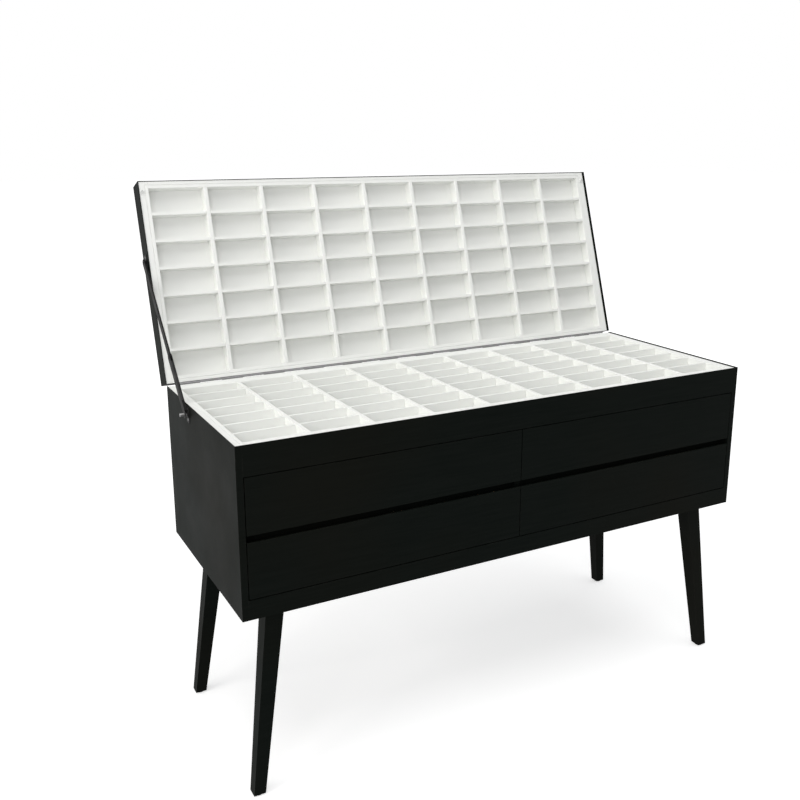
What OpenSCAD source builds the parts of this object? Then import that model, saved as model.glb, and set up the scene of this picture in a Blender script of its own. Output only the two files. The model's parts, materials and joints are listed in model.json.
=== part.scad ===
// Eyewear display cabinet: a low carcass on four splayed legs, a divided tray in its top,
// a second divided tray inside the hinged lid, four drawers on telescopic runners, and a
// folding stay on the left that holds the lid open.
// Millimetres. +X is to the right seen from the front, +Y to the back, +Z up. The origin is
// the centre of the footprint on the floor. The lid is drawn open and the drawers shut.

/* [Carcass] */
// Width of the carcass
body_w = 1500; // [1200:5:1800]
// Depth of the carcass, front face to back face
body_d = 568; // [520:1:640]
// Height of the carcass, underside to the top of its tray
body_h = 416; // [400:1:500]
// Thickness of the side panels, back panel and front rails
board_t = 16; // [14:0.5:19]
// Thickness of the bottom panel
bottom_t = 18; // [15:0.5:25]
// Thickness of the deck that the tray stands on
deck_t = 12; // [11:0.5:18]
// Height of the rail over the drawers, from the top of the tray
top_rail_h = 73; // [60:1:85]
// Height of the rail under the drawers
bottom_rail_h = 48; // [30:1:60]
// Width of the raised lip that the boards form around a tray's flange, at the front and left
ledge = 1.5; // [1:0.25:4]
// Width of that lip at the right end
ledge_right = 8; // [1:0.5:9]
// Height of that lip over the flange
lip_h = 1.5; // [0.5:0.25:2]
// Distance from a flange's back edge to the boards' back face
back_ledge = 1; // [0.5:0.25:3]
// Diameter of the dowels in the carcass joints
dowel_d = 8; // [6:0.5:8]
// Length of a dowel
dowel_l = 30; // [24:1:34]
// Depth that a dowel goes into a side panel
dowel_in = 10; // [6:0.5:11]

/* [Legs] */
// Height of the carcass underside over the floor
leg_h = 480; // [300:5:560]
// Width of a leg at its top
leg_top_w = 45.5; // [40:0.5:50]
// Width of a leg at its foot
leg_foot_w = 29.5; // [25:0.5:38]
// How far the outer side of a foot stands inside the carcass's side
foot_in_x = 15; // [10:1:60]
// How far the outer side of a foot stands inside the carcass's front and back
foot_in_y = 22; // [15:1:40]
// How far the foot stands outside the leg top, sideways
splay_x = 55; // [30:1:90]
// How far the foot stands outside the leg top, front to back
splay_y = 20; // [10:1:40]
// How far the steel plate over each leg stands out around the leg's top
leg_plate_lap = 11.25; // [10.5:0.25:16]
// Thickness of the steel plate over each leg
leg_plate_t = 3; // [2:0.25:5]
// Diameter of the hanger bolt that holds a leg
hanger_d = 8; // [6:0.5:10]
// Depth of the hanger bolt in the leg
hanger_l = 35; // [25:1:50]
// Diameter of the glide under a foot
glide_d = 22; // [16:0.5:24]
// Thickness of the glide under a foot
glide_t = 4; // [3:0.25:8]
// Diameter of the pin that holds a glide
glide_pin_d = 4; // [3:0.25:6]

/* [Drawers] */
// Gap between a drawer front and its neighbours
seam = 2.5; // [1.5:0.25:3]
// Height of the finger gap between an upper and a lower drawer front
finger_gap = 17; // [12:0.5:24]
// Thickness of a drawer front
front_t = 16; // [14:0.5:19]
// Height of the finger bevel behind a drawer front's gripping edge
grip_h = 14; // [10:0.5:15]
// Depth of the finger bevel
grip_d = 10; // [5:0.5:12]
// Thickness of the drawer box boards
box_wall = 12; // [10:0.5:15]
// Distance from the top of a drawer box to the upper edge of its front
box_drop = 22.5; // [18:0.5:40]
// Free space behind a drawer box
box_back = 56; // [10:1:70]
// Height of a drawer box over the lower edge of its front
box_lift = 14; // [14:0.5:18]
// Thickness of a drawer's bottom
drawer_floor_t = 6; // [4:0.5:8]
// Height of a drawer's bottom over the lower edge of its box
drawer_floor_up = 9; // [6:0.5:12]
// Depth of the groove that holds a drawer's bottom
groove = 5; // [3:0.5:6]
// Depth of the rail behind the finger gap, front to back
gap_rail_d = 60; // [40:1:90]
// How far the rail behind the finger gap stands back from the fronts' outer face
gap_rail_back = 32; // [32:1:60]
// How far the rail behind the finger gap laps past the gap, above and below
gap_rail_lap = 12; // [0:0.5:12]

/* [Runners] */
// How much shorter a runner is than the drawer boxes
runner_short = 30; // [10:1:60]
// Height of a runner
runner_h = 42; // [36:0.5:46]
// Space between a drawer box and the wall of its bay, filled by the runner
runner_w = 13; // [12.5:0.1:14]
// Thickness of the runner's steel
runner_steel = 1.2; // [1:0.05:1.3]
// Clearance between two runner members
runner_play = 0.3; // [0.2:0.05:0.5]
// Distance of a runner's front end behind the drawer fronts
runner_back = 2; // [1:0.5:6]

/* [Trays] */
// Number of compartments in a row
cols = 9; // [5:1:12]
// Number of rows of compartments
rows = 7; // [4:1:9]
// Depth of a compartment
cell_h = 32; // [24:0.5:38]
// Thickness of the walls between columns
col_wall = 11; // [5:0.5:11.5]
// Thickness of the walls between rows
row_wall = 7; // [4:0.25:7.5]
// Thickness of a tray's outer walls
tray_wall = 4; // [3:0.25:4.5]
// Thickness of a tray's floor
tray_floor_t = 3; // [2:0.25:5]
// Thickness of the flange that lies on the board edges
flange_t = 2; // [1.5:0.1:3]
// Width of the trays' flanges at the left end
left_flange = 24.5; // [20:0.5:40]
// Width of the trays' flanges at the right end
right_flange = 28; // [20:0.5:40]
// Width of the carcass tray's flange at the front
front_flange = 23.5; // [20:0.5:30]
// Width of the carcass tray's flange at the back
back_flange = 44; // [39.5:0.5:48]
// Width of the lid tray's flange at the lid's front
lid_front_flange = 19; // [18:0.5:26]
// Width of the lid tray's flange at the lid's back
lid_back_flange = 18; // [17.5:0.5:26]
// Width of the groove line around the compartments in a flange
line_w = 1.2; // [0.5:0.1:2]
// Depth of that groove line
line_d = 0.8; // [0.4:0.1:1.2]
// Distance of that groove line from the compartments
line_at = 8.5; // [5:0.5:14]
// Clearance in the half-lap joints of the walls
lap_play = 0.1; // [0.05:0.05:0.2]

/* [Lid] */
// How much shorter the lid is than the carcass, front to back
lid_short = 18; // [0:1:19]
// Thickness of the lid's outer panel
lid_panel_t = 12; // [8:0.5:15]
// Thickness of the lid's frame boards
lid_frame_t = 14.5; // [13:0.5:15]
// Free space between the lid's tray and its outer panel
lid_space = 13; // [8:0.5:18]
// Gap between the shut lid and the carcass
lid_gap = 2; // [1.6:0.1:3]
// Angle of the open lid from shut
lid_open = 108.5; // [95:0.5:115]
// Diameter of a lid bumper
bumper_d = 8; // [5:0.5:9]

/* [Hinge] */
// How much shorter the piano hinge is than the cabinet is wide
hinge_short = 60; // [40:5:300]
// Radius of the hinge knuckles
knuckle_r = 2.6; // [2.4:0.1:4]
// Length of a hinge knuckle
knuckle_l = 60; // [30:5:60]
// Diameter of the hinge pin
hinge_pin_d = 2; // [1.6:0.1:2.2]
// Width of a hinge leaf on its board
leaf_w = 14; // [12:0.5:20]
// Thickness of a hinge leaf
leaf_t = 1; // [0.8:0.1:1.2]
// Number of screws in each hinge leaf
hinge_screws = 9; // [3:2:13]
// Radial clearance of a pin in its hole
pin_play = 0.05; // [0.02:0.01:0.08]

/* [Lid stay] */
// Distance of the stay's pivot on the carcass in front of the back face
stay_back = 203; // [195:1:210]
// Distance of that pivot below the top of the tray
stay_drop = 24; // [22:0.5:28]
// Distance of the stay's pivot on the lid from the lid's back edge
stay_reach = 334; // [320:1:340]
// How far the shut stay stays short of lying flat on itself
fold_slack = 3; // [3:0.5:10]
// Width of the stay's links
bar_w = 19; // [12:0.5:21]
// Thickness of the upper link
bar_t = 4; // [3:0.1:4.5]
// Thickness of each of the two plates of the lower link
fork_t = 1.2; // [1:0.1:1.6]
// Diameter of the stay's rivets and of the stud's neck
rivet_d = 5; // [4:0.25:6]
// Diameter of the rivet heads
rivet_head_d = 9; // [8:0.5:11]
// Thickness of the rivet heads
rivet_head_t = 1; // [0.8:0.1:1.4]
// Length of the stud's head outside the lower link
stud_head_l = 11; // [6:0.5:14]
// Length of the block that holds the two plates of the lower link apart
spacer_l = 30; // [20:1:40]
// Width of that block
spacer_w = 16; // [10:0.5:18]
// Distance of that block from the lower pivot
spacer_off = 8; // [7:0.5:12]
// Clearance between the stay's moving links
bar_play = 0.3; // [0.2:0.05:0.5]
// Distance from the side panel to the inner face of the lower link
link_out = 2.6; // [2.4:0.1:4]
// Thickness of the stay's bracket plates
bracket_t = 1.5; // [1:0.1:1.8]
// Length of a bracket plate
bracket_l = 42; // [38:1:44]
// Width of a bracket plate
bracket_w = 22; // [13:0.5:24]

/* [Screws] */
// Diameter of a wood screw
screw_d = 3.6; // [3:0.1:4]
// Diameter of a wood screw's countersunk head
screw_head_d = 7.2; // [6:0.1:7.6]
// Length of a wood screw
screw_l = 14; // [10:0.5:15]
// Screws in each runner's outer member
runner_screws = 2; // [2:1:4]

/* [Hidden] */
$fn = 48;

// Glue line between two boards of one piece
glue = 0.1;
// Overshoot of a cut past the face it opens
cut = 1;
// Clearance around a dowel, a screw or a bolt in its hole
hole_play = 0.05;

// Carcass levels and faces
x_side = body_w / 2;
x_bay = x_side - board_t;
y_front = -body_d / 2;
y_back = body_d / 2;
z_top = leg_h + body_h;
z_flange = z_top - lip_h;
z_edge = z_flange - flange_t;
z_floor = leg_h + bottom_t;
y_behind_rail = y_front + board_t;
y_before_back = y_back - board_t;

// Trays
flange_x = [-x_side + ledge, x_side - ledge_right];
grid_x = [flange_x[0] + left_flange, flange_x[1] - right_flange];
grid_w = grid_x[1] - grid_x[0];
grid_mid = (grid_x[0] + grid_x[1]) / 2;
body_grid_l = body_d - ledge - back_ledge - front_flange - back_flange;
z_deck = z_flange - cell_h - tray_floor_t;
body_grid_y = y_front + ledge + front_flange + body_grid_l / 2;
body_flange_y = [y_front + ledge, y_back - back_ledge];

// Lid, in its shut place
z_rim = z_top + lid_gap;
lid_d = body_d - lid_short;
lid_t = lip_h + cell_h + tray_floor_t + lid_space + lid_panel_t;
z_lid_flange = z_rim + lip_h;
z_lid_edge = z_lid_flange + flange_t;
z_lid_panel = z_rim + lid_t - lid_panel_t;
y_lid_front = y_back - lid_d;
lid_grid_l = lid_d - ledge - back_ledge - lid_front_flange - lid_back_flange;
lid_grid_y = y_lid_front + ledge + lid_front_flange + lid_grid_l / 2;
lid_flange_y = [y_lid_front + ledge, y_back - back_ledge];
hinge_gap = 0.3;
hinge_y = y_back + knuckle_r + hinge_gap;
hinge_z = z_top + lid_gap / 2;
leaf_play = 0.4;
leaf_z = hinge_z - knuckle_r - leaf_play;
hinge_l = body_w - hinge_short;
knuckles = floor(hinge_l / knuckle_l);
knuckle_gap = 0.4;

// Drawers
z_under_top_rail = z_top - top_rail_h;
z_over_bottom_rail = leg_h + bottom_rail_h;
front_h = (z_under_top_rail - z_over_bottom_rail - 2 * seam - finger_gap) / 2;
front_w = (2 * x_bay - 3 * seam) / 2;
z_front = [z_over_bottom_rail + seam, z_over_bottom_rail + seam + front_h + finger_gap];
y_box = y_front + front_t;
box_d = y_before_back - y_box - box_back;
box_h = front_h - box_lift - box_drop;
runner_l = box_d - runner_short;
bay = [board_t / 2, x_bay];
box_w = bay[1] - bay[0] - 2 * runner_w;
bay_mid = (bay[0] + bay[1]) / 2;
z_gap_rail = [z_front[0] + front_h - gap_rail_lap, z_front[1] + gap_rail_lap];
z_runner = [for (z = z_front) z + box_lift + box_h / 2];

// Legs
z_leg_top = leg_h - leg_plate_t;
foot_x = x_side - foot_in_x;
foot_y = y_back - foot_in_y;
leg_mid_top = [foot_x - splay_x - leg_top_w / 2, foot_y - splay_y - leg_top_w / 2];
leg_mid_foot = [foot_x - leg_foot_w / 2, foot_y - leg_foot_w / 2];
slice = 0.01;
plate_edge = 2.5;
leg_plate_w = leg_top_w + 2 * leg_plate_lap;
plate_screw = leg_plate_w / 2 - screw_head_d / 2 - plate_edge;

// Lid stay, in the plane of Y and Z
function turned(p, a) = [p[0] * cos(a) - p[1] * sin(a), p[0] * sin(a) + p[1] * cos(a)];
stay_low = [y_back - stay_back, z_top - stay_drop];
stay_shut = [y_back - stay_reach, z_rim + lid_t / 2];
hinge_at = [hinge_y, hinge_z];
stay_high = hinge_at + turned(stay_shut - hinge_at, -lid_open);
stay_span = norm(stay_high - stay_low);
stay_angle = atan2(stay_high[1] - stay_low[1], stay_high[0] - stay_low[0]);
shut_span = norm(stay_shut - stay_low);
lower_l = (stay_span - shut_span) / 2 + fold_slack;
upper_l = stay_span - lower_l;
stay_elbow = stay_low + turned([lower_l, 0], stay_angle);
x_fork_in = -x_side - link_out;
x_slot_in = x_fork_in - fork_t;
x_upper_in = x_slot_in - bar_play;
x_upper_out = x_upper_in - bar_t;
x_slot_out = x_upper_out - bar_play;
x_fork_out = x_slot_out - fork_t;

// How far the stay's joints turn while the lid shuts
shut_angle = atan2(stay_shut[1] - stay_low[1], stay_shut[0] - stay_low[0]);
fold = acos((lower_l ^ 2 + shut_span ^ 2 - upper_l ^ 2) / (2 * lower_l * shut_span));
lower_turn = shut_angle - fold - stay_angle;
shut_elbow = stay_low + turned([lower_l, 0], shut_angle - fold);
upper_shut_angle = atan2(stay_shut[1] - shut_elbow[1], stay_shut[0] - shut_elbow[0]);
elbow_turn = upper_shut_angle - stay_angle - lower_turn;
echo(hinge = hinge_at, low = stay_low, elbow = stay_elbow, high = stay_high);
echo(lower_turn = lower_turn, elbow_turn = elbow_turn, lid_open = lid_open);

black = [0.09, 0.095, 0.1];
white = [0.95, 0.95, 0.94];
birch = [0.80, 0.69, 0.50];
zinc = [0.72, 0.73, 0.75];
steel_black = [0.12, 0.12, 0.13];
nylon = [0.1, 0.1, 0.1];
clear_rubber = [0.85, 0.86, 0.86];

// General shapes

// Block between two corners
module block(a, b) {
    translate(a) cube(b - a);
}

// The children on one side only: -1 is the left, mirrored from the right
module on_side(side) {
    mirror([side < 0 ? 1 : 0, 0, 0]) children();
}

// Round bar along X between two places
module bar_x(x0, x1, d) {
    translate([min(x0, x1), 0, 0]) rotate([0, 90, 0]) cylinder(h = abs(x1 - x0), d = d);
}

// Wood screw with its head's face at the origin, pointing down
module screw(play = 0) {
    head_h = (screw_head_d - screw_d) / 2;
    translate([0, 0, -head_h]) cylinder(h = head_h, d1 = screw_d + 2 * play, d2 = screw_head_d + 2 * play);
    translate([0, 0, -screw_l - play]) cylinder(h = screw_l - head_h + play + slice, d = screw_d + 2 * play);
}

// Turns something that points down to point along +X or -X
module towards_x(way) {
    rotate([0, -90 * way, 0]) children();
}

// Carcass

// Middles of the dowels that join a side panel to the boards between the sides
dowel_inset = 104;
dowel_end = 45;
dowel_rows = [y_front + dowel_inset, 0, y_back - dowel_inset];
dowels = concat(
    [for (y = dowel_rows) [y, leg_h + bottom_t / 2]],
    [for (y = dowel_rows) [y, z_deck - deck_t / 2]],
    [for (z = [z_floor + dowel_end, (z_floor + z_deck) / 2, z_deck - deck_t - dowel_end])
        [y_back - board_t / 2, z]],
    [[y_front + board_t / 2, (leg_h + z_over_bottom_rail) / 2]],
    [[y_front + board_t / 2, (z_under_top_rail + z_edge) / 2]]
);

// Dowels of both sides, or the holes for them
module dowel_set(play = 0) {
    x_out = x_bay + dowel_in + play;
    x_in = x_bay + dowel_in - dowel_l - play;
    for (side = [-1, 1], p = dowels)
        translate([0, p[0], p[1]]) bar_x(side * x_out, side * x_in, dowel_d + 2 * play);
}

// Places of a runner's screws: on the side panel, or on the partition for wall 1
screw_inset = 40;
screw_step = (runner_l - 2 * screw_inset) / (runner_screws - 1);
screw_stagger = 20;
module runner_screw_places(side, wall) {
    x = wall == 0 ? x_bay - runner_steel : board_t / 2 + runner_steel;
    way = wall == 0 ? side : -side;
    y0 = y_box + runner_back + screw_inset + (wall == 1 && side > 0 ? screw_stagger : 0);
    for (z = z_runner, i = [0 : runner_screws - 1])
        translate([side * x, y0 + i * screw_step, z]) towards_x(way) children();
}

// Places of the two screws in a bracket plate on the outside of the left side
module bracket_screw_places() {
    for (end = [-1, 1])
        translate([-x_side - bracket_t, 0, end * (bracket_l / 2 - screw_head_d)]) towards_x(1) children();
}

module at_stay_low() {
    translate([0, stay_low[0], stay_low[1]]) children();
}

// Room for a tray's flange in the board edges, between two places front to back
module flange_seat(y_ends, z0, z1) {
    block([flange_x[0] - glue, y_ends[0] - glue, z0], [flange_x[1] + glue, y_back + cut, z1]);
}

module body_flange_seat() {
    flange_seat(body_flange_y, z_edge, z_top + cut);
}

module side_panel(side) {
    color(black) difference() {
        on_side(side) block([x_bay, y_front, leg_h], [x_side, y_back, z_top]);
        body_flange_seat();
        dowel_set(hole_play);
        runner_screw_places(side, 0) screw(hole_play);
        if (side < 0) at_stay_low() bracket_screw_places() screw(hole_play);
    }
}

module back_panel() {
    color(black) difference() {
        block([-x_bay, y_before_back, leg_h], [x_bay, y_back, z_edge]);
        dowel_set(hole_play);
        hinge_screw_places() screw(hole_play);
    }
}

module bottom_panel() {
    color(black) difference() {
        block([-x_bay, y_behind_rail, leg_h], [x_bay, y_before_back, z_floor]);
        dowel_set(hole_play);
        plate_screw_places() screw(hole_play);
    }
}

// Board across the front between the side panels
module front_rail(z0, z1) {
    color(black) difference() {
        block([-x_bay, y_front, z0], [x_bay, y_behind_rail, z1]);
        body_flange_seat();
        dowel_set(hole_play);
    }
}

module finger_gap_rails() {
    y0 = y_front + gap_rail_back;
    color(black) for (side = [-1, 1])
        on_side(side) block([bay[0], y0, z_gap_rail[0]], [bay[1], y0 + gap_rail_d, z_gap_rail[1]]);
}

partition_back = 1;
module centre_partition() {
    color(black) difference() {
        block([-board_t / 2, y_box + partition_back, z_floor], [board_t / 2, y_before_back, z_deck - deck_t]);
        for (side = [-1, 1]) runner_screw_places(side, 1) screw(hole_play);
    }
}

module tray_deck() {
    color(black) difference() {
        block([-x_bay, y_behind_rail, z_deck - deck_t], [x_bay, y_before_back, z_deck]);
        dowel_set(hole_play);
    }
}

// Trays. Each is drawn with the middle of its compartments on the Z axis and the upper face
// of its flange at z = 0. Its compartments take up the length l, front to back.

// Places of the walls that divide a length into a number of compartments
function wall_places(l, wall, count) = [for (i = [1 : count - 1]) i * (l + wall) / count - wall / 2 - l / 2];
col_walls = wall_places(grid_w, col_wall, cols);

module tray_floor(l) {
    x = grid_w / 2 + tray_wall;
    y = l / 2 + tray_wall;
    color(white) block([-x, -y, -cell_h - tray_floor_t], [x, y, -cell_h]);
}

// Four outer walls with their flanges, which reach from y_ends[0] to y_ends[1] on a tray
// whose compartments have their middle at y_mid
module tray_rim(l, y_ends, y_mid) {
    y_out = [y_ends[0] - y_mid, y_ends[1] - y_mid];
    x = grid_w / 2;
    y = l / 2;
    color(white) difference() {
        tray_rim_boards(x, y, y_out);
        rim_line(x + line_at, y + line_at);
    }
}

// Walls and flanges around compartments that reach to x and y
module tray_rim_boards(x, y, y_out) {
    block([flange_x[0] - grid_mid, y_out[0], -flange_t], [-x, y_out[1], 0]);
    block([x, y_out[0], -flange_t], [flange_x[1] - grid_mid, y_out[1], 0]);
    for (side = [-1, 1]) on_side(side)
        block([x, -y - tray_wall, -cell_h], [x + tray_wall, y + tray_wall, 0]);
    block([-x + glue, y_out[0], -flange_t], [x - glue, -y, 0]);
    block([-x + glue, -y - tray_wall, -cell_h], [x - glue, -y, 0]);
    block([-x + glue, y, -flange_t], [x - glue, y_out[1], 0]);
    block([-x + glue, y, -cell_h], [x - glue, y + tray_wall, 0]);
}

// Groove in the flange around the compartments, its inner edge at x and y
module rim_line(x, y) {
    difference() {
        block([-x - line_w, -y - line_w, -line_d], [x + line_w, y + line_w, cut]);
        block([-x, -y, -line_d - cut], [x, y, 2 * cut]);
    }
}

// Walls between columns, notched from below where the row walls pass
module tray_column_walls(l) {
    color(white) for (x = col_walls) difference() {
        block([x - col_wall / 2, -l / 2, -cell_h], [x + col_wall / 2, l / 2, 0]);
        for (y = wall_places(l, row_wall, rows))
            block([x - col_wall / 2 - cut, y - row_wall / 2 - lap_play, -cell_h - cut],
                [x + col_wall / 2 + cut, y + row_wall / 2 + lap_play, -cell_h / 2 + lap_play]);
    }
}

// Walls between rows, notched from above where the column walls pass
module tray_row_walls(l) {
    color(white) for (y = wall_places(l, row_wall, rows)) difference() {
        block([-grid_w / 2, y - row_wall / 2, -cell_h], [grid_w / 2, y + row_wall / 2, 0]);
        for (x = col_walls)
            block([x - col_wall / 2 - lap_play, y - row_wall / 2 - cut, -cell_h / 2],
                [x + col_wall / 2 + lap_play, y + row_wall / 2 + cut, cut]);
    }
}

// The carcass tray's place
module in_carcass() {
    translate([grid_mid, body_grid_y, z_flange]) children();
}

// The lid tray's place, face down in the shut lid
module in_lid() {
    lid_pose() translate([grid_mid, lid_grid_y, z_lid_flange]) mirror([0, 0, 1]) children();
}

// Legs

// Place of one leg's middle at a given inset
module leg_at(side, end, mid) {
    translate([side * mid[0], end * mid[1], 0]) children();
}

glide_pin_l = 12;
module leg(side, end) {
    color(black) difference() {
        hull() {
            leg_at(side, end, leg_mid_foot)
                translate([-leg_foot_w / 2, -leg_foot_w / 2, glide_t]) cube([leg_foot_w, leg_foot_w, slice]);
            leg_at(side, end, leg_mid_top) translate([-leg_top_w / 2, -leg_top_w / 2, z_leg_top - slice])
                cube([leg_top_w, leg_top_w, slice]);
        }
        leg_at(side, end, leg_mid_top) translate([0, 0, z_leg_top - hanger_l - hole_play])
            cylinder(h = hanger_l + cut, d = hanger_d + 2 * hole_play);
        leg_at(side, end, leg_mid_foot)
            translate([0, 0, glide_t - cut]) cylinder(h = glide_pin_l + cut, d = glide_pin_d + 2 * hole_play);
    }
}

// Screws of the leg plates, pointing up
module plate_screw_places() {
    for (side = [-1, 1], end = [-1, 1], dx = [-1, 1], dy = [-1, 1])
        leg_at(side, end, leg_mid_top)
            translate([dx * plate_screw, dy * plate_screw, z_leg_top]) rotate([180, 0, 0]) children();
}

module leg_plates() {
    w = leg_plate_w / 2;
    color(steel_black) for (side = [-1, 1], end = [-1, 1]) difference() {
        leg_at(side, end, leg_mid_top) block([-w, -w, z_leg_top], [w, w, leg_h]);
        leg_at(side, end, leg_mid_top) translate([0, 0, z_leg_top - cut])
            cylinder(h = leg_plate_t + 2 * cut, d = hanger_d + 2 * hole_play);
        plate_screw_places() screw(hole_play);
    }
}

module leg_hanger_bolts() {
    color(zinc) for (side = [-1, 1], end = [-1, 1])
        leg_at(side, end, leg_mid_top)
            translate([0, 0, z_leg_top - hanger_l]) cylinder(h = hanger_l + leg_plate_t, d = hanger_d);
}

module leg_glides() {
    color(nylon) for (side = [-1, 1], end = [-1, 1]) leg_at(side, end, leg_mid_foot) {
        cylinder(h = glide_t, d = glide_d);
        cylinder(h = glide_t + glide_pin_l - hole_play, d = glide_pin_d);
    }
}

// Lid hinge

// Turns what is drawn in the shut lid to the open lid
module lid_pose() {
    translate([0, hinge_y, hinge_z]) rotate([-lid_open, 0, 0]) translate([0, -hinge_y, -hinge_z]) children();
}

// Swaps the carcass side of the hinge for the lid side
module lid_side_of_hinge() {
    lid_pose() translate([0, 0, hinge_z]) mirror([0, 0, 1]) translate([0, 0, -hinge_z]) children();
}

leaf_end = 40;
module hinge_screw_places() {
    reach = hinge_l / 2 - leaf_end;
    for (i = [0 : hinge_screws - 1])
        translate([-reach + 2 * reach * i / (hinge_screws - 1), y_back + leaf_t, leaf_z - leaf_w / 2])
            rotate([-90, 0, 0]) children();
}

// Leaf on the outer face of the back panel, with every second knuckle from the given one
module hinge_leaf(first) {
    x0 = -knuckles * knuckle_l / 2;
    color(zinc) difference() {
        union() {
            block([-hinge_l / 2, y_back, leaf_z - leaf_w], [hinge_l / 2, y_back + leaf_t, leaf_z]);
            for (k = [first : 2 : knuckles - 1]) {
                xa = x0 + k * knuckle_l + knuckle_gap / 2;
                xb = xa + knuckle_l - knuckle_gap;
                translate([0, hinge_y, hinge_z]) bar_x(xa, xb, 2 * knuckle_r);
                block([xa, y_back, leaf_z - slice], [xb, y_back + leaf_t, hinge_z]);
            }
        }
        translate([0, hinge_y, hinge_z]) bar_x(x0 - cut, -x0 + cut, hinge_pin_d + 2 * pin_play);
        hinge_screw_places() screw(hole_play);
    }
}

module hinge_pin() {
    reach = knuckles * knuckle_l / 2;
    color(zinc) translate([0, hinge_y, hinge_z]) bar_x(-reach, reach, hinge_pin_d);
}

// Lid, drawn shut and turned open

module lid_panel() {
    color(black) lid_pose()
        block([-x_side, y_lid_front, z_lid_panel], [x_side, y_back, z_lid_panel + lid_panel_t]);
}

module lid_flange_seat() {
    flange_seat(lid_flange_y, z_rim - cut, z_lid_edge);
}

module lid_frame_ends() {
    color(black) lid_pose() difference() {
        for (side = [-1, 1]) on_side(side)
            block([x_side - lid_frame_t, y_lid_front, z_rim], [x_side, y_back, z_lid_panel]);
        lid_flange_seat();
        at_stay_shut() rotate([90, 0, 0]) bracket_screw_places() screw(hole_play);
    }
}

module lid_frame_front() {
    x = x_side - lid_frame_t;
    color(black) lid_pose() difference() {
        block([-x, y_lid_front, z_rim], [x, y_lid_front + lid_frame_t, z_lid_panel]);
        lid_flange_seat();
    }
}

module lid_frame_back() {
    x = x_side - lid_frame_t;
    color(black) difference() {
        lid_pose() block([-x, y_back - lid_frame_t, z_lid_edge], [x, y_back, z_lid_panel]);
        lid_side_of_hinge() hinge_screw_places() screw(hole_play);
    }
}

// Bumpers on the lid's flange outside its groove line, just clear of the carcass's flange
bumper_in = 30;
bumper_play = 0.3;
module lid_bumpers() {
    out = line_at + line_w;
    color(clear_rubber) lid_pose()
        for (x = [(flange_x[0] + grid_x[0] - out) / 2, (flange_x[1] + grid_x[1] + out) / 2])
            translate([x, y_lid_front + bumper_in, z_flange + bumper_play])
                cylinder(h = z_lid_flange - z_flange - bumper_play, d = bumper_d);
}

// Lid stay

module at_stay_shut() {
    translate([0, stay_shut[0], stay_shut[1]]) children();
}

// Flat link with an eye at each end, from x0 out to x1, its first pivot on the X axis
module stay_bar(l, x0, x1) {
    difference() {
        union() {
            block([x1, 0, -bar_w / 2], [x0, l, bar_w / 2]);
            for (y = [0, l]) translate([0, y, 0]) bar_x(x0, x1, bar_w);
        }
        for (y = [0, l]) translate([0, y, 0]) bar_x(x0 + cut, x1 - cut, rivet_d + 2 * pin_play);
    }
}

module along_stay(p) {
    translate([0, p[0], p[1]]) rotate([stay_angle, 0, 0]) children();
}

// Bracket plate with its screw holes, centred on the X axis
module bracket_plate() {
    difference() {
        block([-x_side - bracket_t, -bracket_w / 2, -bracket_l / 2],
            [-x_side, bracket_w / 2, bracket_l / 2]);
        bracket_screw_places() screw(hole_play);
    }
}

module stay_carcass_bracket() {
    color(steel_black) at_stay_low() difference() {
        bracket_plate();
        bar_x(-x_side - bracket_t - cut, -x_side + cut, rivet_d + 2 * hole_play);
    }
}

module stay_pivot_stud() {
    color(zinc) at_stay_low() {
        bar_x(-x_side, x_fork_out - bar_play - slice, rivet_d);
        bar_x(-x_side - bracket_t, x_fork_in + bar_play, rivet_head_d);
        bar_x(x_fork_out - bar_play, x_fork_out - bar_play - stud_head_l, rivet_head_d);
    }
}

module stay_lid_bracket() {
    color(steel_black) lid_pose() at_stay_shut() {
        rotate([90, 0, 0]) bracket_plate();
        bar_x(-x_side - bracket_t + slice, x_upper_in + bar_play, rivet_head_d);
    }
}

// Two plates, one on each side of the upper link
module stay_lower_link() {
    color(steel_black) along_stay(stay_low) {
        stay_bar(lower_l, x_fork_in, x_slot_in);
        stay_bar(lower_l, x_slot_out, x_fork_out);
    }
}

module stay_lower_spacer() {
    color(steel_black) along_stay(stay_low)
        block([x_slot_out, spacer_off, -spacer_w / 2], [x_slot_in, spacer_off + spacer_l, spacer_w / 2]);
}

module stay_elbow_rivet() {
    color(steel_black) translate([0, stay_elbow[0], stay_elbow[1]]) {
        bar_x(x_fork_in + slice, x_fork_out - slice, rivet_d);
        bar_x(x_fork_in, x_fork_in + rivet_head_t, rivet_head_d);
        bar_x(x_fork_out, x_fork_out - rivet_head_t, rivet_head_d);
    }
}

module stay_upper_link() {
    color(steel_black) along_stay(stay_elbow) stay_bar(upper_l, x_upper_in, x_upper_out);
}

module stay_lid_rivet() {
    color(steel_black) translate([0, stay_high[0], stay_high[1]]) {
        bar_x(x_upper_in, x_upper_out - slice, rivet_d);
        bar_x(x_upper_out, x_upper_out - rivet_head_t, rivet_head_d);
    }
}

// Runners

// Steel channel that runs from front to back, its web at web_x and its flanges up to tip_x
module channel(web_x, tip_x, half) {
    way = tip_x > web_x ? 1 : -1;
    s = runner_steel;
    y0 = y_box + runner_back;
    translate([0, y0 + runner_l, 0]) rotate([90, 0, 0]) linear_extrude(runner_l) polygon([
        [web_x, -half], [tip_x, -half], [tip_x, -half + s], [web_x + way * s, -half + s],
        [web_x + way * s, half - s], [tip_x, half - s], [tip_x, half], [web_x, half]
    ]);
}

// The two runners of one drawer bay, one against each wall
module bay_walls(side, level) {
    for (wall = [0, 1])
        on_side(side) translate([bay[1 - wall], 0, z_runner[level]]) mirror([1 - wall, 0, 0]) children();
}

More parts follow.
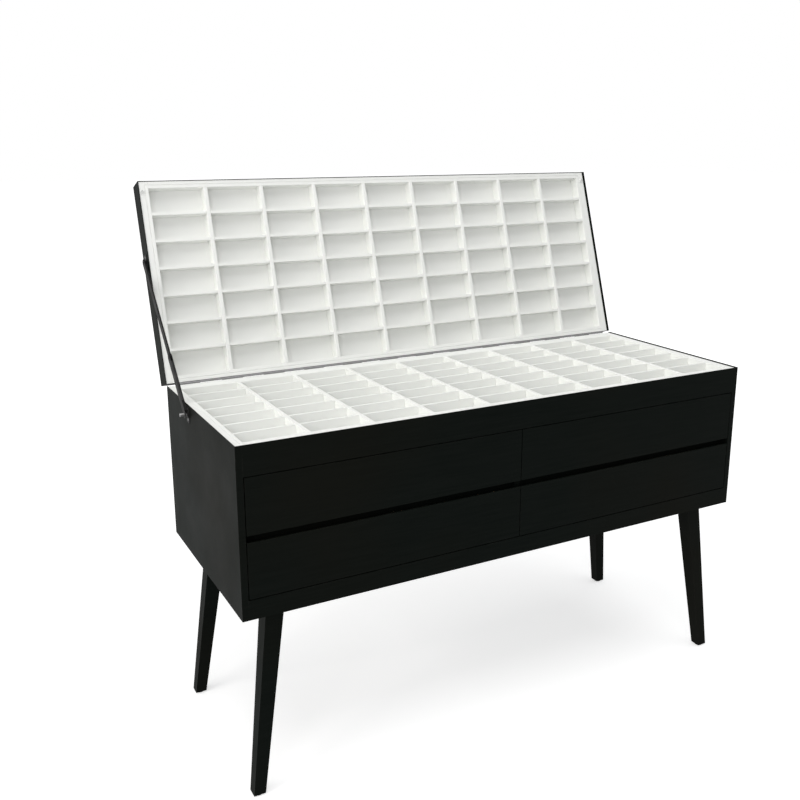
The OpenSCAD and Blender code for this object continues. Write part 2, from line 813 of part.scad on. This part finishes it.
layer = runner_steel + runner_play;
tip = runner_w - layer;
module runner_outer_members() {
    color(zinc) difference() {
        for (side = [-1, 1], level = [0, 1]) bay_walls(side, level) channel(0, tip, runner_h / 2);
        for (side = [-1, 1], wall = [0, 1]) runner_screw_places(side, wall) screw(hole_play);
    }
}

module runner_middle(side, level) {
    color(zinc) bay_walls(side, level) channel(layer, tip, runner_h / 2 - layer);
}

module runner_inner(side, level) {
    color(zinc) bay_walls(side, level) channel(runner_w, 2 * layer, runner_h / 2 - 2 * layer);
}

// Drawers. Level 0 is the lower row and level 1 the upper row.

// Front with a finger bevel behind the edge along the finger gap
module drawer_front(side, level) {
    z0 = z_front[level];
    z1 = z0 + front_h;
    lower = [
        [y_front, z0], [y_box, z0], [y_box, z1 - grip_h], [y_box - grip_d, z1], [y_front, z1]
    ];
    upper = [
        [y_front, z0], [y_box - grip_d, z0], [y_box, z0 + grip_h], [y_box, z1], [y_front, z1]
    ];
    color(black) on_side(side) translate([seam / 2, 0, 0])
        rotate([90, 0, 90]) linear_extrude(front_w) polygon(level == 0 ? lower : upper);
}

// Four boards and a bottom let into grooves
module drawer_box(side, level) {
    z0 = z_front[level] + box_lift;
    x = box_w / 2;
    y1 = y_box + box_d;
    color(birch) on_side(side) translate([bay_mid, 0, 0]) {
        difference() {
            union() {
                block([-x, y_box, z0], [-x + box_wall, y1, z0 + box_h]);
                block([x - box_wall, y_box, z0], [x, y1, z0 + box_h]);
                block([-x + box_wall + glue, y_box, z0], [x - box_wall - glue, y_box + box_wall, z0 + box_h]);
                block([-x + box_wall + glue, y1 - box_wall, z0], [x - box_wall - glue, y1, z0 + box_h]);
            }
            drawer_floor(z0, glue);
        }
        drawer_floor(z0, 0);
    }
}

// A drawer's bottom, or with play the grooves for it
module drawer_floor(z0, play) {
    x = box_w / 2 - box_wall + groove + play;
    y0 = y_box + box_wall - groove - play;
    y1 = y_box + box_d - box_wall + groove + play;
    z = z0 + drawer_floor_up;
    block([-x, y0, z - play], [x, y1, z + drawer_floor_t + play]);
}

// Wood screws

module carcass_wood_screws() {
    color(zinc) {
        hinge_screw_places() screw();
        plate_screw_places() screw();
        at_stay_low() bracket_screw_places() screw();
        for (side = [-1, 1], wall = [0, 1]) runner_screw_places(side, wall) screw();
    }
}

module lid_wood_screws() {
    color(zinc) {
        lid_side_of_hinge() hinge_screw_places() screw();
        lid_pose() at_stay_shut() rotate([90, 0, 0]) bracket_screw_places() screw();
    }
}

side_panel(-1);  // side_panel_left
side_panel(1);  // side_panel_right
back_panel();
bottom_panel();
front_rail(z_under_top_rail, z_top);  // top_rail
front_rail(leg_h, z_over_bottom_rail);  // bottom_rail
finger_gap_rails();
centre_partition();
tray_deck();
in_carcass() tray_floor(body_grid_l);  // body_tray_floor
in_carcass() tray_rim(body_grid_l, body_flange_y, body_grid_y);  // body_tray_rim
in_carcass() tray_column_walls(body_grid_l);  // body_tray_column_walls
in_carcass() tray_row_walls(body_grid_l);  // body_tray_row_walls
leg(-1, -1);  // leg_front_left
leg(1, -1);  // leg_front_right
leg(-1, 1);  // leg_back_left
leg(1, 1);  // leg_back_right
leg_plates();
leg_hanger_bolts();
leg_glides();
hinge_leaf(0);  // hinge_leaf_carcass
hinge_pin();
carcass_wood_screws();
color(birch) dowel_set();  // carcass_dowels
stay_carcass_bracket();
stay_pivot_stud();
runner_outer_members();
lid_panel();
lid_frame_front();
lid_frame_back();
lid_frame_ends();
in_lid() tray_floor(lid_grid_l);  // lid_tray_floor
in_lid() tray_rim(lid_grid_l, lid_flange_y, lid_grid_y);  // lid_tray_rim
in_lid() tray_column_walls(lid_grid_l);  // lid_tray_column_walls
in_lid() tray_row_walls(lid_grid_l);  // lid_tray_row_walls
lid_side_of_hinge() hinge_leaf(1);  // hinge_leaf_lid
lid_wood_screws();
stay_lid_bracket();
lid_bumpers();
stay_lower_link();
stay_lower_spacer();
stay_elbow_rivet();
stay_upper_link();
stay_lid_rivet();
drawer_front(-1, 1);  // drawer_upper_left_front
drawer_box(-1, 1);  // drawer_upper_left_box
runner_inner(-1, 1);  // drawer_upper_left_runner_inner
runner_middle(-1, 1);  // drawer_upper_left_runner_middle
drawer_front(1, 1);  // drawer_upper_right_front
drawer_box(1, 1);  // drawer_upper_right_box
runner_inner(1, 1);  // drawer_upper_right_runner_inner
runner_middle(1, 1);  // drawer_upper_right_runner_middle
drawer_front(-1, 0);  // drawer_lower_left_front
drawer_box(-1, 0);  // drawer_lower_left_box
runner_inner(-1, 0);  // drawer_lower_left_runner_inner
runner_middle(-1, 0);  // drawer_lower_left_runner_middle
drawer_front(1, 0);  // drawer_lower_right_front
drawer_box(1, 0);  // drawer_lower_right_box
runner_inner(1, 0);  // drawer_lower_right_runner_inner
runner_middle(1, 0);  // drawer_lower_right_runner_middle
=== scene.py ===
import bpy, json, math
from mathutils import Matrix, Vector


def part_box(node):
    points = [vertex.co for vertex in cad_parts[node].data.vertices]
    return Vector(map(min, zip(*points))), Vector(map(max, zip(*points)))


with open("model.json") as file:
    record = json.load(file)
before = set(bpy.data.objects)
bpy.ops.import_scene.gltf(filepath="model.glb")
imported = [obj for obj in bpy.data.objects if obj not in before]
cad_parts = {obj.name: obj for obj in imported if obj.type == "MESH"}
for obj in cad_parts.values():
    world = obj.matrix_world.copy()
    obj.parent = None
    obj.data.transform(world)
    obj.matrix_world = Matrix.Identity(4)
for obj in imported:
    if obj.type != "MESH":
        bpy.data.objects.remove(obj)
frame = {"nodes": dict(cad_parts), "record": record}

# Eyewear display cabinet. Metres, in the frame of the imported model: +X right, +Y back, +Z up.
scene = bpy.context.scene
scene.view_settings.view_transform = "Standard"
nodes = frame["nodes"]
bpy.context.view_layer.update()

# Camera

# Place and turn solved from the photograph's corners of carcass, lid and feet
CAM_AT = (-1.3319, -2.1687, 1.5506)
YAW, PITCH, ROLL = 29.130, 14.102, 0.232
FOCAL_PX, CENTRE_PX, SIZE_PX = 948.68, (425.78, 370.51), 800
SENSOR_MM = 36


def add_camera():
    data = bpy.data.cameras.new("camera")
    cam = bpy.data.objects.new("camera", data)
    scene.collection.objects.link(cam)
    yaw, pitch, roll = (math.radians(a) for a in (YAW, PITCH, ROLL))
    look = Vector((math.sin(yaw) * math.cos(pitch), math.cos(yaw) * math.cos(pitch), -math.sin(pitch)))
    right = Vector((math.cos(yaw), -math.sin(yaw), 0))
    up = right.cross(look)
    right, up = math.cos(roll) * right + math.sin(roll) * up, math.cos(roll) * up - math.sin(roll) * right
    cam.matrix_world = Matrix.Translation(CAM_AT) @ Matrix((right, up, -look)).transposed().to_4x4()
    data.sensor_width = SENSOR_MM
    data.lens = FOCAL_PX / SIZE_PX * SENSOR_MM
    data.shift_x = (SIZE_PX / 2 - CENTRE_PX[0]) / SIZE_PX
    data.shift_y = (CENTRE_PX[1] - SIZE_PX / 2) / SIZE_PX
    scene.camera = cam


# Materials

# Dot product of a rounded normal and the true one, on a full arris and on open surface
ON_ARRIS, ON_OPEN = 0.82, 0.99


class Look:
    """A node material on the Principled shader, built from the model's own coordinates."""

    def __init__(self, name, **constants):
        self.material = bpy.data.materials.new(name)
        self.material.use_nodes = True
        self.tree = self.material.node_tree
        self.shader = self.tree.nodes["Principled BSDF"]
        for socket, value in constants.items():
            self.shader.inputs[socket.replace("_", " ")].default_value = value
        self.place = self.node("ShaderNodeTexCoord").outputs["Object"]

    def node(self, kind, inputs=(), **settings):
        made = self.tree.nodes.new(kind)
        for key, value in settings.items():
            setattr(made, key, value)
        for key, value in dict(inputs).items():
            if isinstance(value, bpy.types.NodeSocket):
                self.tree.links.new(value, made.inputs[key])
            else:
                made.inputs[key].default_value = value
        return made

    def feed(self, socket, value):
        self.tree.links.new(value, self.shader.inputs[socket])

    def scaled(self, stretch):
        return self.node("ShaderNodeMapping", {"Vector": self.place, "Scale": stretch}).outputs[0]

    def noise(self, scale, detail=2.0, rough=0.5, stretch=None):
        place = self.scaled(stretch) if stretch else self.place
        inputs = {"Vector": place, "Scale": scale, "Detail": detail, "Roughness": rough}
        return self.node("ShaderNodeTexNoise", inputs).outputs["Fac"]

    def spread(self, value, low, high, start=0.3, stop=0.7):
        """The value between start and stop, spread between low and high."""
        made = self.node("ShaderNodeMapRange", {"Value": value, "From Min": start, "From Max": stop,
                                                "To Min": low, "To Max": high})
        return made.outputs[0]

    def calc(self, operation, a, b=0.0):
        return self.node("ShaderNodeMath", {0: a, 1: b}, operation=operation).outputs[0]

    def blend(self, fac, a, b):
        made = self.node("ShaderNodeMix", {"Factor": fac}, data_type="RGBA")
        for socket, value in ((made.inputs[6], a), (made.inputs[7], b)):
            if isinstance(value, bpy.types.NodeSocket):
                self.tree.links.new(value, socket)
            else:
                socket.default_value = (*value, 1)
        return made.outputs[2]

    def axis(self, letter):
        return self.node("ShaderNodeSeparateXYZ", {0: self.place}).outputs[letter]

    def facing(self, letter):
        """How squarely the surface faces along an axis, 0 to 1."""
        normal = self.node("ShaderNodeNewGeometry").outputs["Normal"]
        part = self.node("ShaderNodeSeparateXYZ", {0: normal}).outputs[letter]
        return self.calc("ABSOLUTE", part)

    def edges(self, radius):
        """1 on an arris and 0 on open surface: how far a rounded normal leaves the true one."""
        soft = self.node("ShaderNodeBevel", {"Radius": radius}, samples=4).outputs[0]
        true = self.node("ShaderNodeNewGeometry").outputs["True Normal"]
        dot = self.node("ShaderNodeVectorMath", {0: soft, 1: true}, operation="DOT_PRODUCT")
        return self.spread(dot.outputs["Value"], 1.0, 0.0, start=ON_ARRIS, stop=ON_OPEN)

    def bump(self, layers):
        """Stacks (height, depth in metres) layers into the shader's normal."""
        normal = None
        for height, depth in layers:
            inputs = {"Height": height, "Strength": 1.0, "Distance": depth}
            if normal:
                inputs["Normal"] = normal
            normal = self.node("ShaderNodeBump", inputs).outputs[0]
        self.feed("Normal", normal)


def black_lacquer():
    """Matt black lacquer on board: faint open grain along the width, cool and warm in broad
    patches, rubbed lighter at the arrises."""
    deep, light, hazy = (0.0031, 0.0046, 0.0038), (0.0053, 0.0069, 0.0059), (0.0067, 0.0078, 0.0066)
    warm, worn = (0.0071, 0.0067, 0.0048), (0.036, 0.034, 0.031)
    look = Look("black_board", Specular_IOR_Level=0.02)
    grain = look.noise(26, detail=6, rough=0.62, stretch=(0.35, 9, 9))
    pores = look.noise(420, rough=0.6, stretch=(0.12, 1, 1))
    tone = look.blend(look.spread(grain, 0.0, 1.0, start=0.35, stop=0.65), deep, light)
    tone = look.blend(look.spread(look.noise(2.6, detail=3), 0.0, 0.30), tone, hazy)
    tone = look.blend(look.spread(look.noise(1.7), 0.0, 0.60, start=0.40, stop=0.62), tone, warm)
    wear = look.spread(look.noise(34, detail=4), 0.0, 0.55, start=0.42, stop=0.62)
    rubbed = look.calc("MULTIPLY", look.edges(radius=0.0011), wear)
    look.feed("Base Color", look.blend(rubbed, tone, worn))
    sheen = look.spread(look.noise(7, detail=5, rough=0.6), 0.50, 0.58)
    polish = look.calc("MULTIPLY", rubbed, 0.12)
    look.feed("Roughness", look.calc("SUBTRACT", sheen, polish))
    look.bump([(grain, 0.00006), (pores, 0.00004)])
    return look.material


def white_tray():
    """White moulded board: fine orange peel, faint mottling, hairline scuffs from what is laid in it."""
    darker, bright, scuffed = (0.845, 0.852, 0.825), (0.875, 0.880, 0.855), (0.70, 0.70, 0.67)
    look = Look("white_board", Specular_IOR_Level=0.4)
    peel = look.noise(520)
    scuff = look.noise(120, detail=6, rough=0.75, stretch=(1, 0.08, 1))
    hairline = look.spread(scuff, 0.0, 0.10, start=0.62, stop=0.70)
    tone = look.blend(look.spread(look.noise(3.2, detail=3), 0.0, 1.0), darker, bright)
    look.feed("Base Color", look.blend(hairline, tone, scuffed))
    satin = look.spread(look.noise(11, detail=4), 0.36, 0.48)
    look.feed("Roughness", look.calc("ADD", satin, hairline))
    look.bump([(peel, 0.00003), (scuff, 0.00001)])
    return look.material


# Thickness in metres of a drawer box's boards, and of two plies, one light and one dark
BOX_BOARD, TWO_PLIES = 0.012, 0.0026


def birch_plywood():
    """Clear-lacquered birch: flame figure on the faces, glued plies on the upper and lower edges."""
    pale, figure, honey = (0.640, 0.470, 0.285), (0.545, 0.375, 0.205), (0.700, 0.540, 0.350)
    brown, ply_light, ply_dark = (0.420, 0.275, 0.145), (0.610, 0.440, 0.265), (0.330, 0.205, 0.105)
    look = Look("birch_plywood", Specular_IOR_Level=0.4)
    warp = look.noise(3.5, detail=3, stretch=(0.6, 0.6, 4))
    rings = look.node("ShaderNodeTexWave",
                      {"Vector": look.scaled((1, 1, 5)), "Scale": 14, "Distortion": 9.0, "Detail": 3.0,
                       "Detail Scale": 1.4, "Detail Roughness": 0.55},
                      wave_type="BANDS", bands_direction="Z").outputs["Fac"]
    fibre = look.noise(240, detail=4, rough=0.7, stretch=(0.05, 0.05, 1))
    face = look.blend(look.spread(rings, 0.0, 0.8, start=0.1, stop=0.9), pale, figure)
    face = look.blend(look.spread(warp, 0.0, 0.35), face, honey)
    face = look.blend(look.spread(fibre, 0.0, 0.30), face, brown)
    # The plies of a box's side boards are stacked along X, those of its front and back along Y
    low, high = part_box("drawer_upper_right_box")
    from_middle = look.calc("ABSOLUTE", look.axis("X"))
    off_mid = look.calc("ABSOLUTE", look.calc("SUBTRACT", from_middle, (low.x + high.x) / 2))
    in_side = look.calc("GREATER_THAN", off_mid, (high.x - low.x) / 2 - BOX_BOARD)
    through = look.node("ShaderNodeMix", {0: in_side, 2: look.axis("Y"), 3: off_mid}, data_type="FLOAT")
    wave = look.calc("SINE", look.calc("MULTIPLY", through.outputs[0], 2 * math.pi / TWO_PLIES))
    edge = look.blend(look.calc("GREATER_THAN", wave, 0.1), ply_light, ply_dark)
    on_edge = look.calc("GREATER_THAN", look.facing("Z"), 0.9)
    look.feed("Base Color", look.blend(on_edge, face, edge))
    look.feed("Roughness", look.spread(fibre, 0.44, 0.60))
    look.bump([(fibre, 0.00005)])
    return look.material


# Black paint over the zinc of some screws
PAINT = (0.015, 0.015, 0.0155)


def zinc_plate(name="zinc_steel", lit=0.50, dim=0.43, patch=0.36, smooth=0.24, rough=0.40, painted_to=None):
    """Zinc plating: spangle, drawn streaks and a few dull patches; black paint left of painted_to."""
    light, dark, darker = (lit, lit, lit), (dim, dim, dim * 1.02), (patch, patch * 0.98, patch * 0.92)
    look = Look(name, Metallic=1.0)
    spangle = look.node("ShaderNodeTexVoronoi", {"Vector": look.place, "Scale": 260}).outputs["Distance"]
    streak = look.noise(300, detail=3, rough=0.6, stretch=(1, 0.04, 1))
    tone = look.blend(look.spread(spangle, 0.0, 1.0, start=0.0, stop=0.8), light, dark)
    tone = look.blend(look.spread(look.noise(40, detail=3), 0.0, 0.5, start=0.5), tone, darker)
    if painted_to is not None:
        painted = look.calc("LESS_THAN", look.axis("X"), painted_to)
        tone = look.blend(painted, tone, PAINT)
        look.feed("Metallic", look.calc("SUBTRACT", 1.0, painted))
    look.feed("Base Color", tone)
    look.feed("Roughness", look.spread(streak, smooth, rough))
    look.bump([(streak, 0.00001)])
    return look.material


def black_powder_coat():
    """Black powder coat: fine texture, worn to grey on the arrises."""
    deep, light, bare = (0.012, 0.012, 0.0125), (0.019, 0.019, 0.0185), (0.13, 0.125, 0.12)
    look = Look("black_steel", Specular_IOR_Level=0.04)
    wear = look.spread(look.noise(90, detail=4), 0.0, 0.7, start=0.4, stop=0.65)
    worn = look.calc("MULTIPLY", look.edges(radius=0.0006), wear)
    tone = look.blend(look.spread(look.noise(14, detail=3), 0.0, 1.0), deep, light)
    look.feed("Base Color", look.blend(worn, tone, bare))
    look.feed("Roughness", look.spread(look.noise(30, detail=3), 0.42, 0.55))
    look.bump([(look.noise(1600), 0.00004)])
    return look.material


def moulded_nylon():
    """Black nylon glide: fine spark-eroded texture, paler at the arrises."""
    textured, rubbed = (0.016, 0.016, 0.017), (0.060, 0.058, 0.055)
    look = Look("nylon", Specular_IOR_Level=0.4)
    look.feed("Base Color", look.blend(look.edges(radius=0.001), textured, rubbed))
    look.feed("Roughness", look.spread(look.noise(60), 0.45, 0.6))
    look.bump([(look.noise(1100, detail=3), 0.00004)])
    return look.material


def clear_bumper():
    """Clear soft bumper, slightly cloudy."""
    look = Look("bumper_rubber", Transmission_Weight=0.55, IOR=1.45)
    look.feed("Base Color", look.blend(look.noise(300), (0.80, 0.81, 0.81), (0.88, 0.88, 0.87)))
    look.feed("Roughness", look.spread(look.noise(500), 0.22, 0.36))
    return look.material


# The screws of the stay's black brackets are black too, to this depth, in metres, from the left face
PAINT_DEPTH = 0.0045


def dress_nodes():
    looks = {
        "black_board": black_lacquer(), "white_board": white_tray(), "birch_plywood": birch_plywood(),
        "zinc_steel": zinc_plate(), "black_steel": black_powder_coat(), "nylon": moulded_nylon(),
        "bumper_rubber": clear_bumper(),
    }
    # A darker copy of the zinc. On the hinges it is painted shade for the shadowed joint between lid and
    # carcass; the pivot stud takes the same copy
    darker = zinc_plate("zinc_steel_painted_shade", lit=0.27, dim=0.22, patch=0.18, smooth=0.40, rough=0.55)
    left_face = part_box("side_panel_left")[0].x
    screws = zinc_plate("zinc_steel_screws", painted_to=left_face + PAINT_DEPTH)
    for part in frame["record"]["subparts"]:
        name = part["node"]
        look = looks[part["material_slot"]]
        # The hinges get the darker zinc as painted shade of the joint between lid and carcass
        if name.startswith("hinge") or name == "stay_pivot_stud":
            look = darker
        elif name.endswith("wood_screws"):
            look = screws
        nodes[name].data.materials.clear()
        nodes[name].data.materials.append(look)


# Softened arrises

# Vertices closer than this, in metres, become one, and edges sharper than this, in degrees, are rounded
WELD_WITHIN, SHARP_FROM = 0.00001, 40

# Width of the rounding in metres, and the nodes that have it
SOFT_EDGES = {
    0.0007: ["side_panel_left", "side_panel_right", "back_panel", "top_rail", "bottom_rail", "bottom_panel",
             "lid_panel", "lid_frame_front", "lid_frame_back", "lid_frame_ends"],
    0.0009: ["drawer_%s_%s_front" % (row, side) for row in ("upper", "lower") for side in ("left", "right")],
    0.0012: ["body_tray_rim", "body_tray_column_walls", "body_tray_row_walls",
             "lid_tray_rim", "lid_tray_column_walls", "lid_tray_row_walls"],
    0.0020: ["leg_front_left", "leg_front_right", "leg_back_left", "leg_back_right"],
    0.0003: ["stay_lower_link", "stay_upper_link", "stay_lower_spacer", "stay_carcass_bracket",
             "stay_lid_bracket", "leg_plates"],
    0.0004: ["stay_pivot_stud", "stay_elbow_rivet", "stay_lid_rivet", "leg_glides", "lid_bumpers"],
}


def soften(name, width):
    """Rounds a node's sharp edges a little, as paint, moulding or sanding leaves them."""
    modifiers = nodes[name].modifiers
    modifiers.new("weld", "WELD").merge_threshold = WELD_WITHIN
    bevel = modifiers.new("bevel", "BEVEL")
    bevel.width = width
    bevel.segments = 2
    bevel.limit_method = "ANGLE"
    bevel.angle_limit = math.radians(SHARP_FROM)
    bevel.use_clamp_overlap = True
    modifiers.new("normals", "WEIGHTED_NORMAL").keep_sharp = True


# Room and light

# Strength and colour of the light from all around, and strength of the white background
AMBIENT, AMBIENT_COLOR, BEHIND_WHITE = 0.30, (0.97, 0.985, 1.0, 1), 1.0

# Side of the floor in metres, and its grey
FLOOR_SIZE, FLOOR_GREY = 60, 0.82
# The floor's own glow for the rays that see the background: at the object, where its shadow lies,
# and further out, with the distances in metres between which the one passes into the other
GLOW_NEAR, GLOW_FAR = 0.57, 0.88
GLOW_FROM, GLOW_TO = 1.5, 4.5

# Name, place, point it faces, width and height in metres, watts, colour
LAMPS = [
    ("left", (-7.0, -1.0, 3.2), (0, 0.1, 0.9), (4.2, 3.0), 212, (1.0, 0.985, 0.95)),
    ("front", (-4.0, -6.0, 3.2), (0, 0.1, 0.9), (4.2, 3.0), 116, (1, 1, 1)),
    ("top", (0.0, -0.6, 5.2), (0, 0, 0.9), (6.4, 4.4), 150, (1, 1, 1)),
]


def shows_background(tree):
    """1 for the rays that see the white background: from the camera, off gloss and through glass."""
    path = tree.nodes.new("ShaderNodeLightPath")
    total = path.outputs["Is Camera Ray"]
    for ray in ("Is Glossy Ray", "Is Transmission Ray"):
        more = tree.nodes.new("ShaderNodeMath")
        more.operation = "MAXIMUM"
        tree.links.new(total, more.inputs[0])
        tree.links.new(path.outputs[ray], more.inputs[1])
        total = more.outputs[0]
    return total


def add_world():
    world = bpy.data.worlds.new("studio")
    scene.world = world
    world.use_nodes = True
    tree = world.node_tree
    light = tree.nodes["Background"]
    light.inputs["Color"].default_value = AMBIENT_COLOR
    light.inputs["Strength"].default_value = AMBIENT
    white = tree.nodes.new("ShaderNodeBackground")
    white.inputs["Color"].default_value = (1, 1, 1, 1)
    white.inputs["Strength"].default_value = BEHIND_WHITE
    mix = tree.nodes.new("ShaderNodeMixShader")
    tree.links.new(shows_background(tree), mix.inputs[0])
    tree.links.new(light.outputs[0], mix.inputs[1])
    tree.links.new(white.outputs[0], mix.inputs[2])
    tree.links.new(mix.outputs[0], tree.nodes["World Output"].inputs[0])


def floor_paint():
    """Pale matt paint, with a glow that brings the floor close to white further out."""
    paint = bpy.data.materials.new("floor")
    paint.use_nodes = True
    tree = paint.node_tree
    shader = tree.nodes["Principled BSDF"]
    shader.inputs["Base Color"].default_value = (FLOOR_GREY, FLOOR_GREY, FLOOR_GREY, 1)
    shader.inputs["Roughness"].default_value = 0.9
    shader.inputs["Specular IOR Level"].default_value = 0.0
    away = tree.nodes.new("ShaderNodeVectorMath")
    away.operation = "LENGTH"
    tree.links.new(tree.nodes.new("ShaderNodeNewGeometry").outputs["Position"], away.inputs[0])
    level = tree.nodes.new("ShaderNodeMapRange")
    for socket, value in (("From Min", GLOW_FROM), ("From Max", GLOW_TO),
                          ("To Min", GLOW_NEAR), ("To Max", GLOW_FAR)):
        level.inputs[socket].default_value = value
    tree.links.new(away.outputs["Value"], level.inputs["Value"])
    strength = tree.nodes.new("ShaderNodeMath")
    strength.operation = "MULTIPLY"
    tree.links.new(shows_background(tree), strength.inputs[0])
    tree.links.new(level.outputs[0], strength.inputs[1])
    glow = tree.nodes.new("ShaderNodeEmission")
    tree.links.new(strength.outputs[0], glow.inputs["Strength"])
    add = tree.nodes.new("ShaderNodeAddShader")
    tree.links.new(shader.outputs[0], add.inputs[0])
    tree.links.new(glow.outputs[0], add.inputs[1])
    tree.links.new(add.outputs[0], tree.nodes["Material Output"].inputs[0])
    return paint


def add_floor():
    bpy.ops.mesh.primitive_plane_add(size=FLOOR_SIZE, location=(0, 0, 0))
    floor = bpy.context.object
    floor.name = "floor"
    floor.data.materials.append(floor_paint())


def add_lamp(name, at, target, size, power, color):
    data = bpy.data.lights.new(name, "AREA")
    data.shape = "RECTANGLE"
    data.size, data.size_y = size
    data.energy = power
    data.color = color
    lamp = bpy.data.objects.new(name, data)
    lamp.location = at
    lamp.rotation_mode = "QUATERNION"
    lamp.rotation_quaternion = (Vector(target) - Vector(at)).to_track_quat("-Z", "Y")
    lamp.visible_camera = False
    scene.collection.objects.link(lamp)


add_camera()
dress_nodes()
for width, names in SOFT_EDGES.items():
    for name in names:
        soften(name, width)
add_world()
add_floor()
for lamp in LAMPS:
    add_lamp(*lamp)
